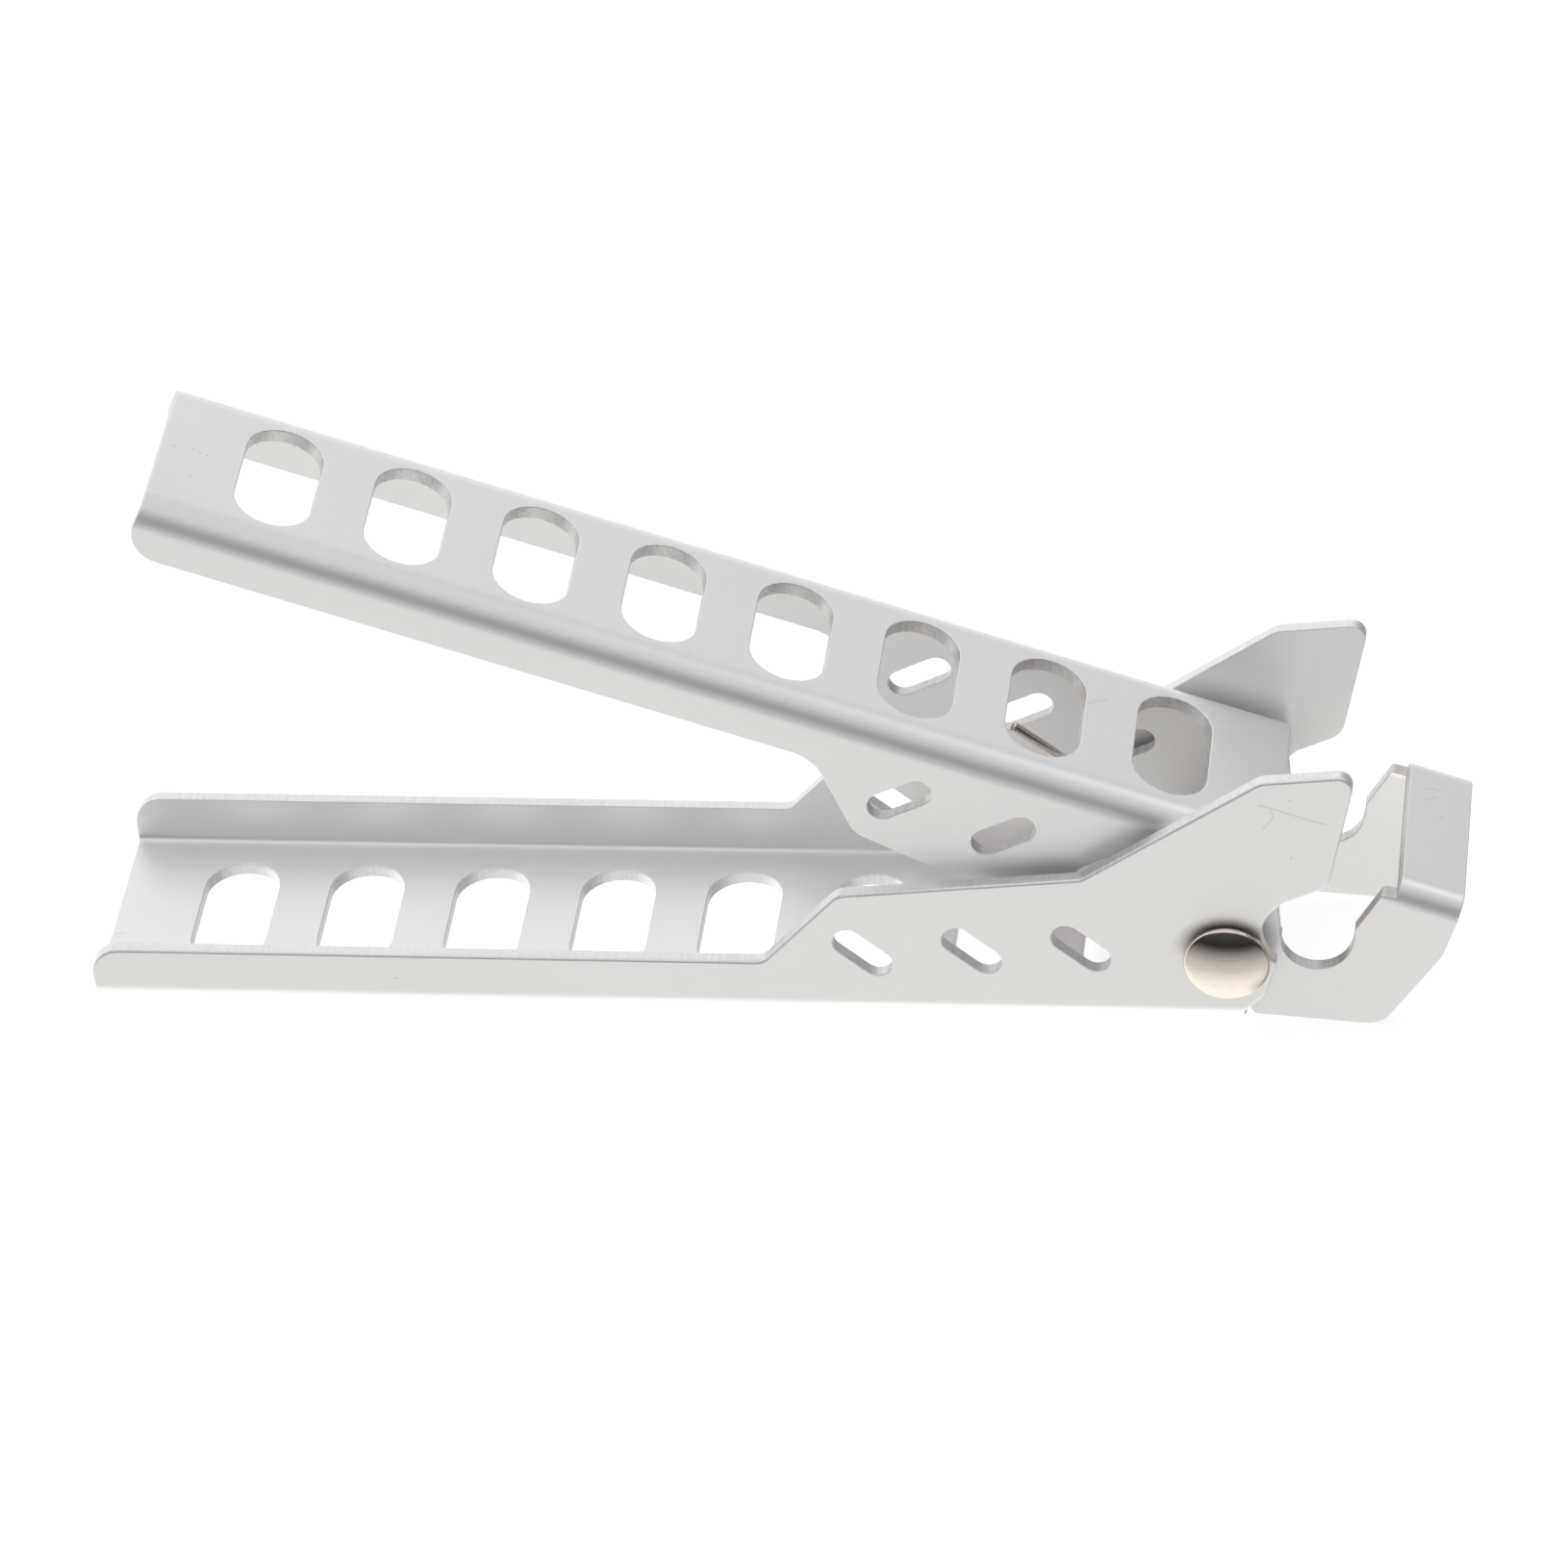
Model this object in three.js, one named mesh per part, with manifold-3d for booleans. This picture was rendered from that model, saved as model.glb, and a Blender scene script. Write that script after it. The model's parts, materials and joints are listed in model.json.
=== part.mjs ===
// Camping pot gripper: two channel-shaped levers of bent sheet aluminium on one rivet, opened by a
// torsion spring. A pot's rim goes between the lower lever's jaw and the upper lever's nose.
//
// Millimetres, +Z up, the nose towards +X, the two handles towards -X. Each lever is drawn in a frame
// of its own, with its origin on the pivot axis, X along its flat web and Y across its width.

import * as THREE from 'three';
import { mergeVertices } from 'three/addons/utils/BufferGeometryUtils.js';
import Module from 'manifold-3d';

const wasm = await Module();
wasm.setup();

// ---------------------------------------------------------------- driving dimensions

const SHEET = 1.5;
const OPEN_ANGLE = THREE.MathUtils.degToRad(19.6); // between the two webs, held open by the spring

const LOWER = {
  halfWidth: 13.9,
  heel: -117.4, // left end
  toe: 1.75, // right end of the web
  webFace: -7.82, // outside face of the web
  bend: 2.2, // outside radius of the bend between web and flange
  holes: { first: -105.15, pitch: 13.34, width: 7.85, length: 16.9 },
  slot: { x: -37.2, z: 0.43, rise: 0.54, angle: THREE.MathUtils.degToRad(-41) },
};

const UPPER = {
  halfWidth: 11.43,
  heel: -118.15,
  toe: 0.8,
  webFace: 14.1,
  bend: 2.9,
  holes: { first: -105.82, pitch: 13.5, width: 7.9, length: 16.1 },
  slot: { x: -36.9, z: 6.05, rise: -0.57, angle: THREE.MathUtils.degToRad(45) },
  noseFace: 13.6, // outside face of the short web across the nose
  noseBend: 2.4,
  noseStart: 13.9,
  noseEnd: 20.6,
};

const WEB_HOLES = 8;
const BULGE = 0.35; // how far the bends push the flanges' left ends out past the web's
const FLANGE_SLOT = { count: 3, pitch: 11.2, width: 3.0, length: 7.0 };

// The round pockets that the rim of the pot sits in.
const LOWER_POCKET = { x: 8.2, z: 3.5, radius: 4.6 };
const UPPER_POCKET = { x: 8.0, z: 4.2, radius: 3.65 };

const GAP = 0.3; // between separate pieces that touch
const SHANK_RADIUS = 1.6;
const BORE_RADIUS = SHANK_RADIUS + GAP;
const HEAD = { radius: 4.45, height: 1.9 };
const CAP_SOCKET_DEPTH = 1.0;
const SLEEVE_RADIUS = 2.4;
const WASHER = { radius: 4.0, thickness: 0.4 };

const WIRE = 1.0;
const COIL = { radius: 3.25, turns: 7, pitch: 1.12 };
const SPRING_FEET = {
  upper: { x: -28.0, y: -5.1, z: 14.4 }, // in the upper lever's frame, up through a hole
  lower: { x: -31.0, y: 3.6, z: -5.5 }, // in the lower lever's frame, on its web
};

// How finely curves are cut into flats. An arc gets twice the steps given here.
const ARC_STEPS = 6;
const BEND_STEPS = 4;
const CIRCLE_STEPS = 18;
const WIRE_STEPS = 4;
const LATHE_STEPS = 32;
const SPRING_STEPS = 150;

// ---------------------------------------------------------------- solids from three.js shapes

function toSolid(geometry) {
  const bare = geometry.clone();
  bare.deleteAttribute('normal');
  bare.deleteAttribute('uv');
  const merged = mergeVertices(bare);
  return new wasm.Manifold(new wasm.Mesh({
    numProp: 3,
    vertProperties: new Float32Array(merged.attributes.position.array),
    triVerts: new Uint32Array(merged.index.array),
  }));
}

function toGeometry(solid) {
  const { vertProperties, triVerts } = solid.getMesh();
  const geometry = new THREE.BufferGeometry();
  geometry.setAttribute('position', new THREE.BufferAttribute(vertProperties, 3));
  geometry.setIndex(new THREE.BufferAttribute(triVerts, 1));
  geometry.computeVertexNormals();
  return geometry;
}

// The shape's x and y become the two axes given, and it runs from `from` to `to` along the third.
function extrude(shape, axes, from, to, curveSegments) {
  const geometry = new THREE.ExtrudeGeometry(shape, {
    depth: to - from,
    bevelEnabled: false,
    curveSegments,
  });
  geometry.translate(0, 0, from);
  geometry.applyMatrix4(new THREE.Matrix4().makeBasis(...axes));
  return toSolid(geometry);
}

const X = new THREE.Vector3(1, 0, 0);
const Y = new THREE.Vector3(0, 1, 0);
const Z = new THREE.Vector3(0, 0, 1);
const MINUS_Y = Y.clone().negate();

const alongX = (shape, from, to) => extrude(shape, [Y, Z, X], from, to, BEND_STEPS);
const alongZ = (shape, from, to) => extrude(shape, [X, Y, Z], from, to, ARC_STEPS);
const acrossY = (shape, halfWidth, steps = ARC_STEPS) => {
  return extrude(shape, [X, Z, MINUS_Y], -halfWidth, halfWidth, steps);
};

// A closed outline through corners [x, y, radius]. A corner with no radius stays sharp.
function roundedShape(corners) {
  const shape = new THREE.Shape();
  corners.forEach(([x, y, radius = 0], i) => {
    const corner = new THREE.Vector2(x, y);
    const drawTo = (point) => shape[i === 0 ? 'moveTo' : 'lineTo'](point.x, point.y);
    if (radius === 0) {
      drawTo(corner);
      return;
    }
    const before = corners.at(i - 1);
    const after = corners[(i + 1) % corners.length];
    const back = new THREE.Vector2(before[0] - x, before[1] - y).normalize();
    const ahead = new THREE.Vector2(after[0] - x, after[1] - y).normalize();
    const halfAngle = Math.acos(back.dot(ahead)) / 2;
    const middle = back.clone().add(ahead).normalize();
    const centre = corner.clone().addScaledVector(middle, radius / Math.sin(halfAngle));
    const reach = radius / Math.tan(halfAngle);
    const start = corner.clone().addScaledVector(back, reach);
    const end = corner.clone().addScaledVector(ahead, reach);
    const turnsRight = back.cross(ahead) > 0;
    drawTo(start);
    shape.absarc(centre.x, centre.y, radius,
      start.sub(centre).angle(), end.sub(centre).angle(), turnsRight);
  });
  return shape;
}

function circle(x, y, radius) {
  return new THREE.Shape().absarc(x, y, radius, 0, 2 * Math.PI, false);
}

// A slot with round ends, `length` long over all, turned by `angle` from the x axis.
function slotShape(x, y, length, width, angle) {
  const radius = width / 2;
  const half = length / 2 - radius;
  const dx = half * Math.cos(angle);
  const dy = half * Math.sin(angle);
  const shape = new THREE.Shape();
  shape.absarc(x + dx, y + dy, radius, angle - Math.PI / 2, angle + Math.PI / 2, false);
  shape.absarc(x - dx, y - dy, radius, angle + Math.PI / 2, angle + Math.PI * 1.5, false);
  return shape;
}

// ---------------------------------------------------------------- the two levers

// A bent channel along X. Its web's outside face is at `face`, and its walls go from there towards
// `side`, which is +1 for up and -1 for down.
function channel(from, to, halfWidth, face, side, bend) {
  const depth = 60;
  const inner = halfWidth - SHEET;
  const innerBend = bend - SHEET;
  const section = roundedShape([
    [-halfWidth, face + side * depth],
    [-halfWidth, face, bend],
    [halfWidth, face, bend],
    [halfWidth, face + side * depth],
    [inner, face + side * depth],
    [inner, face + side * SHEET, innerBend],
    [-inner, face + side * SHEET, innerBend],
    [-inner, face + side * depth],
  ]);
  return alongX(section, from, to);
}

function webHoles({ first, pitch, width, length }, face) {
  const holes = [];
  for (let i = 0; i < WEB_HOLES; i += 1) {
    const hole = slotShape(first + i * pitch, 0, length, width, Math.PI / 2);
    holes.push(alongZ(hole, face - 2 * SHEET, face + 2 * SHEET));
  }
  return holes;
}

function flangeSlots({ x, z, rise, angle }) {
  const slots = [];
  for (let i = 0; i < FLANGE_SLOT.count; i += 1) {
    const shape = slotShape(
      x + i * FLANGE_SLOT.pitch, z + i * rise, FLANGE_SLOT.length, FLANGE_SLOT.width, angle);
    slots.push(acrossY(shape, LOWER.halfWidth + SHEET));
  }
  return slots;
}

function cutAll(solid, cutters) {
  return cutters.reduce((rest, cutter) => rest.subtract(cutter), solid);
}

function lowerLever() {
  const flangeTop = -1.0;
  const profile = roundedShape([
    [LOWER.heel, LOWER.webFace],
    [LOWER.toe, LOWER.webFace],
    [LOWER.toe, -6.2],
    [3.9, -4.0, 2.0],
    [5.0, -0.2, 0.5],
    [5.6, 7.42],
    [10.41, 9.58, 2.6],
    [13.55, 23.6, 1.5],
    [3.9, 22.6, 2.0],
    [-14.5, 10.2, 1.5],
    [-39.5, 7.65, 2.0],
    [-47.6, flangeTop, 1.5],
    [LOWER.heel - BULGE, flangeTop, 3.2],
    [LOWER.heel - BULGE, LOWER.webFace + LOWER.bend],
  ]);
  const blank = channel(LOWER.heel - 1, 20, LOWER.halfWidth, LOWER.webFace, 1, LOWER.bend)
    .intersect(acrossY(profile, LOWER.halfWidth + 1));
  const reach = LOWER.halfWidth + SHEET;
  return cutAll(blank, [
    ...webHoles(LOWER.holes, LOWER.webFace),
    ...flangeSlots(LOWER.slot),
    acrossY(circle(LOWER_POCKET.x, LOWER_POCKET.z, LOWER_POCKET.radius), reach, CIRCLE_STEPS),
    acrossY(circle(0, 0, BORE_RADIUS), reach, CIRCLE_STEPS),
  ]);
}

// The upper lever's flanges hook round the end of the lower web, which stops the tool opening
// further. This is the hook's outline in the upper lever's frame: an arc about the pivot that
// clears the web as the tool closes, and the stop face, upright when the tool is open.
function hookCorners() {
  const clearRadius = 6.0;
  const stopX = LOWER.toe + GAP;
  const stopTop = -Math.sqrt(clearRadius ** 2 - stopX ** 2);
  const toUpper = (x, z) => [
    x * Math.cos(OPEN_ANGLE) - z * Math.sin(OPEN_ANGLE),
    x * Math.sin(OPEN_ANGLE) + z * Math.cos(OPEN_ANGLE),
  ];
  const corners = [];
  const arcStart = THREE.MathUtils.degToRad(-73);
  const arcEnd = Math.atan2(stopTop, stopX) + OPEN_ANGLE;
  const steps = 6;
  for (let i = 0; i <= steps; i += 1) {
    const angle = THREE.MathUtils.lerp(arcStart, arcEnd, i / steps);
    corners.push([clearRadius * Math.cos(angle), clearRadius * Math.sin(angle)]);
  }
  corners.push(toUpper(stopX, LOWER.webFace));
  return corners;
}

function upperLever() {
  const above = UPPER.webFace + 1;
  const flangeEdge = 7.85;
  const profile = roundedShape([
    [UPPER.heel, above],
    [UPPER.heel, UPPER.webFace],
    [UPPER.heel - BULGE, UPPER.webFace - UPPER.bend],
    [UPPER.heel - BULGE, flangeEdge, 3.2],
    [-46.6, flangeEdge, 5.0],
    [-39.95, 0.4, 2.5],
    ...hookCorners(),
    [5.1, -7.1],
    [17.64, -3.84, 3.0],
    [UPPER.noseEnd, 6.6, 6.0],
    [UPPER.noseEnd, above],
    [UPPER.noseStart, above],
    [UPPER.noseStart, 12.0],
    [12.4, 11.9, 0.4],
    [11.25, 6.8],
    [11.6, 5.4],
    [11.65, 4.2],
    [4.42, 3.4],
    [UPPER.toe, 12.2],
    [UPPER.toe, above],
  ]);
  // The two webs are at different heights, and the profile leaves neither between toe and nose. The
  // two channels share only flat flange, so that one runs on into the other without a step.
  const { halfWidth, webFace, bend, noseFace, noseBend } = UPPER;
  const handle = channel(UPPER.heel - 1, UPPER_POCKET.x, halfWidth, webFace, -1, bend);
  const nose = channel(UPPER.toe + 1, UPPER.noseEnd + 1, halfWidth, noseFace, -1, noseBend);
  const blank = handle.add(nose).intersect(acrossY(profile, halfWidth + 1));
  const reach = LOWER.halfWidth;
  return cutAll(blank, [
    ...webHoles(UPPER.holes, UPPER.webFace),
    ...flangeSlots(UPPER.slot),
    acrossY(circle(UPPER_POCKET.x, UPPER_POCKET.z, UPPER_POCKET.radius), reach, CIRCLE_STEPS),
    acrossY(circle(0, 0, BORE_RADIUS), reach, CIRCLE_STEPS),
  ]);
}

// ---------------------------------------------------------------- what turns on the pivot axis

const SEAT = LOWER.halfWidth + GAP; // where the two heads sit, measured from the middle

// Points [radius, y] of a dome's outside, from its rim at the seat to its crown.
function domeProfile() {
  const ball = (HEAD.radius ** 2 + HEAD.height ** 2) / (2 * HEAD.height);
  const steps = 6;
  return Array.from({ length: steps + 1 }, (_, i) => {
    const angle = Math.asin(HEAD.radius / ball) * (1 - i / steps);
    return [ball * Math.sin(angle), SEAT + HEAD.height - ball * (1 - Math.cos(angle))];
  });
}

function turned(points) {
  return toSolid(new THREE.LatheGeometry(
    points.map(([radius, y]) => new THREE.Vector2(radius, y)), LATHE_STEPS));
}

function ring(inner, outer, from, to) {
  return turned([[inner, from], [outer, from], [outer, to], [inner, to], [inner, from]]);
}

function pivotRivet() {
  const nearDome = domeProfile().map(([radius, y]) => [radius, -y]).reverse();
  const shankEnd = SEAT + CAP_SOCKET_DEPTH - GAP;
  return turned([
    ...nearDome,
    [SHANK_RADIUS, -SEAT],
    [SHANK_RADIUS, shankEnd],
    [0, shankEnd],
  ]);
}

function rivetCap() {
  const socketEnd = SEAT + CAP_SOCKET_DEPTH;
  return turned([
    [BORE_RADIUS, SEAT],
    ...domeProfile(),
    [0, socketEnd],
    [BORE_RADIUS, socketEnd],
    [BORE_RADIUS, SEAT],
  ]);
}

function spacerSleeve() {
  const half = UPPER.halfWidth - SHEET - GAP;
  return ring(BORE_RADIUS, SLEEVE_RADIUS, -half, half);
}

function washer(side) {
  const middle = side * (UPPER.halfWidth + LOWER.halfWidth - SHEET) / 2;
  const half = WASHER.thickness / 2;
  return ring(BORE_RADIUS, WASHER.radius, middle - half, middle + half);
}

// ---------------------------------------------------------------- torsion spring

class Helix extends THREE.Curve {
  constructor(radius, startAngle, endAngle, startY, endY) {
    super();
    Object.assign(this, { radius, startAngle, endAngle, startY, endY });
  }

  getPoint(t, target = new THREE.Vector3()) {
    const angle = THREE.MathUtils.lerp(this.startAngle, this.endAngle, t);
    return target.set(
      this.radius * Math.cos(angle),
      THREE.MathUtils.lerp(this.startY, this.endY, t),
      this.radius * Math.sin(angle),
    );
  }
}

// The wire runs from its foot on the lower web to the coil's underside, round the coil, and from
// the coil's top under a bar of the upper web, to end in the hole beyond. Both legs leave the coil
// along its tangent.
function torsionSpring() {
  const upperFoot = new THREE.Vector3(
    SPRING_FEET.upper.x, SPRING_FEET.upper.y, SPRING_FEET.upper.z).applyAxisAngle(Y, OPEN_ANGLE);
  const lowerFoot = new THREE.Vector3(
    SPRING_FEET.lower.x, SPRING_FEET.lower.y, SPRING_FEET.lower.z);
  const tangentAngle = (foot, turn) => {
    const distance = Math.hypot(foot.x, foot.z);
    return Math.atan2(foot.z, foot.x) + turn * Math.acos(COIL.radius / distance);
  };
  const startAngle = tangentAngle(lowerFoot, 1);
  const endAngle = tangentAngle(upperFoot, -1) + 2 * Math.PI * (COIL.turns - 1);
  const coilHalf = (endAngle - startAngle) / (2 * Math.PI) * COIL.pitch / 2;
  const coil = new Helix(COIL.radius, startAngle, endAngle, coilHalf, -coilHalf);
  const path = new THREE.CurvePath();
  path.add(new THREE.LineCurve3(lowerFoot, coil.getPoint(0)));
  path.add(coil);
  path.add(new THREE.LineCurve3(coil.getPoint(1), upperFoot));
  return toSolid(new THREE.ExtrudeGeometry(circle(0, 0, WIRE / 2), {
    steps: SPRING_STEPS,
    curveSegments: WIRE_STEPS,
    bevelEnabled: false,
    extrudePath: path,
  }));
}

// ---------------------------------------------------------------- assembly

const brushedAluminium = (color) => {
  return new THREE.MeshStandardMaterial({ color, roughness: 0.42, metalness: 0.9 });
};
const nickel = new THREE.MeshStandardMaterial({ color: 0xd8cfc4, roughness: 0.12, metalness: 1 });
const springSteel = new THREE.MeshStandardMaterial({
  color: 0x9b948e, roughness: 0.3, metalness: 1,
});
const plainSteel = new THREE.MeshStandardMaterial({ color: 0xb4b4b2, roughness: 0.4, metalness: 1 });

function part(name, solid, material) {
  const mesh = new THREE.Mesh(toGeometry(solid), material);
  mesh.name = name;
  return mesh;
}

const lower = part('lower_lever', lowerLever(), brushedAluminium(0xdcdcda));
const upper = part('upper_lever', upperLever(), brushedAluminium(0xdadadc));
upper.rotation.y = OPEN_ANGLE;

const assembly = new THREE.Group();
assembly.add(
  lower,
  upper,
  part('pivot_rivet', pivotRivet(), nickel),
  part('rivet_cap', rivetCap(), nickel),
  part('spacer_sleeve', spacerSleeve(), plainSteel),
  part('washer_near', washer(-1), plainSteel),
  part('washer_far', washer(1), plainSteel),
  part('torsion_spring', torsionSpring(), springSteel),
);

// On a table the tool rests on the lower web's left end and on the bottom of the nose. This is the
// angle from the lower web to that surface.
function standingTilt() {
  const heel = new THREE.Vector3(LOWER.heel, 0, LOWER.webFace);
  const point = new THREE.Vector3();
  let steepest = 0;
  const positions = upper.geometry.attributes.position;
  for (let i = 0; i < positions.count; i += 1) {
    point.fromBufferAttribute(positions, i).applyAxisAngle(Y, OPEN_ANGLE);
    if (point.x > 0) {
      steepest = Math.max(steepest, Math.atan2(heel.z - point.z, point.x - heel.x));
    }
  }
  return steepest;
}

assembly.rotation.y = -standingTilt();
const box = new THREE.Box3().setFromObject(assembly, true);
assembly.position.set(-(box.min.x + box.max.x) / 2, 0, -box.min.z);

const gripper = new THREE.Group();
gripper.name = 'pot_gripper';
gripper.add(assembly);

export default gripper;
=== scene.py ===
"""Looks of the pot gripper: brushed aluminium levers, a polished rivet and a bright wire spring.

Lengths are written in millimetres and turned to metres by mm(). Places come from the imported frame:
the pivot from the hinge joint, and everything on the pivot axis is measured from it.
"""

import json
import math

import bmesh
import bpy
from mathutils import Matrix, Quaternion, Vector


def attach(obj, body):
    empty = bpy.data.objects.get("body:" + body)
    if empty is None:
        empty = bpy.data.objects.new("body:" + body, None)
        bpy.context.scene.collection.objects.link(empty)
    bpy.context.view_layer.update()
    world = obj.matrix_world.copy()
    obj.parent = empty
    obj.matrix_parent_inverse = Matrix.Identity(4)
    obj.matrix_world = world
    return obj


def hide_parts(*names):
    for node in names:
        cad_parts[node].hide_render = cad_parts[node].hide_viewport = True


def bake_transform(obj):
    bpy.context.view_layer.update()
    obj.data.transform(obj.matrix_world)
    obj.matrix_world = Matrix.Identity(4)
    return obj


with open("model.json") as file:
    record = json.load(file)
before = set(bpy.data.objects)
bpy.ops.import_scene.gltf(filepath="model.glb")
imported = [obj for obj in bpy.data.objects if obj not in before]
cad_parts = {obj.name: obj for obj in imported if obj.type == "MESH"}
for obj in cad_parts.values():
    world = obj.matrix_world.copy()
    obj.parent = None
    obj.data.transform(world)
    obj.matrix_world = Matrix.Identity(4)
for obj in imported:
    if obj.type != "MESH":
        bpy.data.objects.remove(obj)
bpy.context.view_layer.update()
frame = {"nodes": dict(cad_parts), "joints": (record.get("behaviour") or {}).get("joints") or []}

scene = bpy.context.scene
hinge = frame["joints"][0]
PIVOT = Vector(hinge["pos_m"])

# ---------------------------------------------------------------- sizes, in millimetres

SHEET = 1.5
LOWER_HALF_WIDTH = 13.9
UPPER_HALF_WIDTH = 11.43
OUTLINE_ROUNDING = 0.34  # of the outside edges of the lower lever's flanges
OTHER_ROUNDING = 0.13  # of every other cut edge
ROUNDING_STEPS = 4
FLATS_WEIGHT = 80  # over 50, so that the large faces lead the shading beside a rounded edge

# How the CAD levers are read. Points nearer than the first are merged: both levers round over
# cleanly with 0.010 to 0.013.
MERGE_DISTANCE = 0.012
FLAT_ANGLE = 1  # degrees; faces that meet at less than this are one flat
CUT_ANGLE = 35  # degrees; a cut edge turns by more than this
NEAR_SKIN = 0.1  # a point this near a surface of the sheet counts as on it
ON_SKIN = 0.05  # the same, for the edges of the outline

HEAD_RADIUS = 4.42
HEAD_HEIGHT = 1.95
HEAD_RIM = 0.48
HEAD_RIM_STEPS = 10
DOME_STEPS = 24
HEAD_LIFT = 0.35  # the near head was set this much above its shank
SHANK_RADIUS = 1.8
SHANK_REACH = 0.9  # of the shank past the far flange, into the cap
CAP_DEPTH = 1.0  # of the cap's hole
CAP_CLEARANCE = 0.02
SLEEVE_RADIUS = 2.4
SLEEVE_CHAMFER = 0.15
SLEEVE_END_GAP = 0.1
WASHER_RADIUS = 4.0
WASHER_THICKNESS = 0.4
WASHER_CHAMFER = 0.06
BORE_CLEARANCE = 0.05  # of the sleeve and the washers round the shank
TURNED_SIDES = 96
TOLERANCE = 0.001

WIRE_RADIUS = 0.5
COIL_RADIUS = 3.25
COIL_PITCH = 1.12
COIL_TURNS = 7
COIL_STEPS = 260
LEG_STEPS = 12
WIRE_SIDES = 20
WIRE_CHAMFER = 0.25  # of a cut end, as a share of the wire's radius

# The levers lie at these angles to the table, in degrees, nose end down for the upper one.
LOWER_TILT = -0.69
UPPER_TILT = 18.91
SPRING_UPPER_FOOT = (-28.0, -5.1, 14.4)  # in the upper lever's own frame, from the pivot
SPRING_LOWER_FOOT = (-31.0, 3.6, -5.5)  # in the lower lever's own frame, from the pivot

# Where each lever is bent: a web's outside height, its bend's outside radius, half its width, and
# the x that the web runs from and to. The upper lever's second web is the short one of the nose.
LOWER_BENDS = ((-7.82, 2.2, LOWER_HALF_WIDTH, -120, 20),)
UPPER_BENDS = ((14.1, 2.9, UPPER_HALF_WIDTH, -120, 5), (13.6, 2.4, UPPER_HALF_WIDTH, 5, 25))
# The row of slots in each lever's flanges: from x to x, and from z to z.
LOWER_SLOT_ROW = (-42, -10, -3.5, 5.5)
UPPER_SLOT_ROW = (-42, -10, 1.5, 10.0)

# Scratches and dents, each as its points (x, y, z) in its lever's own frame, and its half width.
LOWER_FLANGE_MARKS = (
    (((3.7, -13.9, 19.97), (4.9, -13.9, 19.6), (7.6, -13.9, 18.6), (10.4, -13.9, 17.7)), 0.055),
    (((4.9, -13.9, 19.6), (5.15, -13.9, 18.5), (4.1, -13.9, 17.0)), 0.045),
    (((6.8, -13.9, 20.6), (6.85, -13.9, 20.6)), 0.09),
    (((6.8, -13.9, 13.45), (6.85, -13.9, 13.4)), 0.10),
    (((-86.0, -13.9, -3.9), (-85.6, -13.9, -3.9)), 0.06),
)
LOWER_WEB_MARKS = (
    (((-117.2, -4.1, -6.32), (-116.3, -4.1, -6.32)), 0.06),
    (((-117.2, -4.6, -6.32), (-116.6, -4.6, -6.32)), 0.05),
)
UPPER_WEB_MARKS = (
    (((-20.6, 2.75, 14.1), (-19.5, 3.75, 14.1), (-18.6, 4.2, 14.1)), 0.04),
    (((-114.9, 0.5, 14.1), (-114.85, 0.5, 14.1)), 0.09),
    (((-114.2, 0.2, 14.1), (-114.1, 0.2, 14.1)), 0.08),
    (((-113.4, 0.05, 14.1), (-113.35, 0.0, 14.1)), 0.10),
    (((-117.0, 0.05, 14.1), (-116.7, 0.0, 14.1)), 0.06),
    (((-114.4, -4.0, 14.1), (-114.35, -4.1, 14.1)), 0.09),
    (((15.4, 6.0, 13.6), (16.4, 6.5, 13.6), (17.5, 6.5, 13.6)), 0.04),
    (((15.7, 4.3, 13.6), (17.0, 5.4, 13.6)), 0.045),
    (((17.3, 2.3, 13.6), (17.7, 2.1, 13.6)), 0.06),
)

CAMERA_AIM = (0.67, 0.0, 20.1)  # in the row frame
CAMERA_AZIMUTH = 8.41
CAMERA_ELEVATION = 36.22
CAMERA_ROLL = -3.54
CAMERA_DISTANCE = 812.2
CAMERA_LENS = 181.7
SENSOR = 36.0
FLOOR_REACH = 6.0  # in metres, from the middle to each side


def mm(*values):
    """Millimetres to metres: one number, or a vector of three."""
    metres = [v / 1000 for v in values]
    return metres[0] if len(metres) == 1 else Vector(metres)


def from_lever(point, tilt):
    """A point in a lever's own frame, in millimetres from the pivot, to the row frame."""
    return PIVOT + Matrix.Rotation(math.radians(tilt), 3, "Y") @ mm(*point)


def to_lever(point, tilt):
    """A point in the row frame to a lever's own frame, in millimetres from the pivot."""
    return Matrix.Rotation(math.radians(-tilt), 3, "Y") @ (point - PIVOT) * 1000


# The tent's light by height of direction, from -1 straight down to 1 straight up, and its tint.
NEUTRAL = (1.0, 0.996, 0.975)
WARM = (1.0, 0.99, 0.95)
COOL = (0.97, 0.955, 1.0)
FRONT_LIGHT = ((-1.0, 1.3, WARM), (-0.8, 1.1, WARM), (-0.6, 0.79, WARM), (-0.42, 0.62, WARM),
               (-0.26, 0.40, COOL), (-0.1, 0.14, COOL), (0.0, 0.03, COOL), (0.5, 0.10, COOL),
               (0.66, 0.75, COOL), (1.0, 0.95, COOL))
REAR_LIGHT = ((-1.0, 1.2, NEUTRAL), (-0.3, 1.05, NEUTRAL), (0.0, 0.88, NEUTRAL),
              (0.5, 0.9, NEUTRAL), (1.0, 0.82, COOL))
REAR_SIDES = (0.17, 0.45, 1.11, 0.33)  # from this x to that x, the rear light is times 1.11 to 0.33
OPENING_SIDES = (-0.1, -0.5)
BACKDROP = (0.97, 0.97, 0.97, 1)
SOFTBOX_PLACE = (0.31, 0.03, 0.42)  # in metres
SOFTBOX_SIDE = 0.15  # in metres
SOFTBOX_POWER = 0.18  # in watts
FLOOR_GLOW = 0.55

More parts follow.
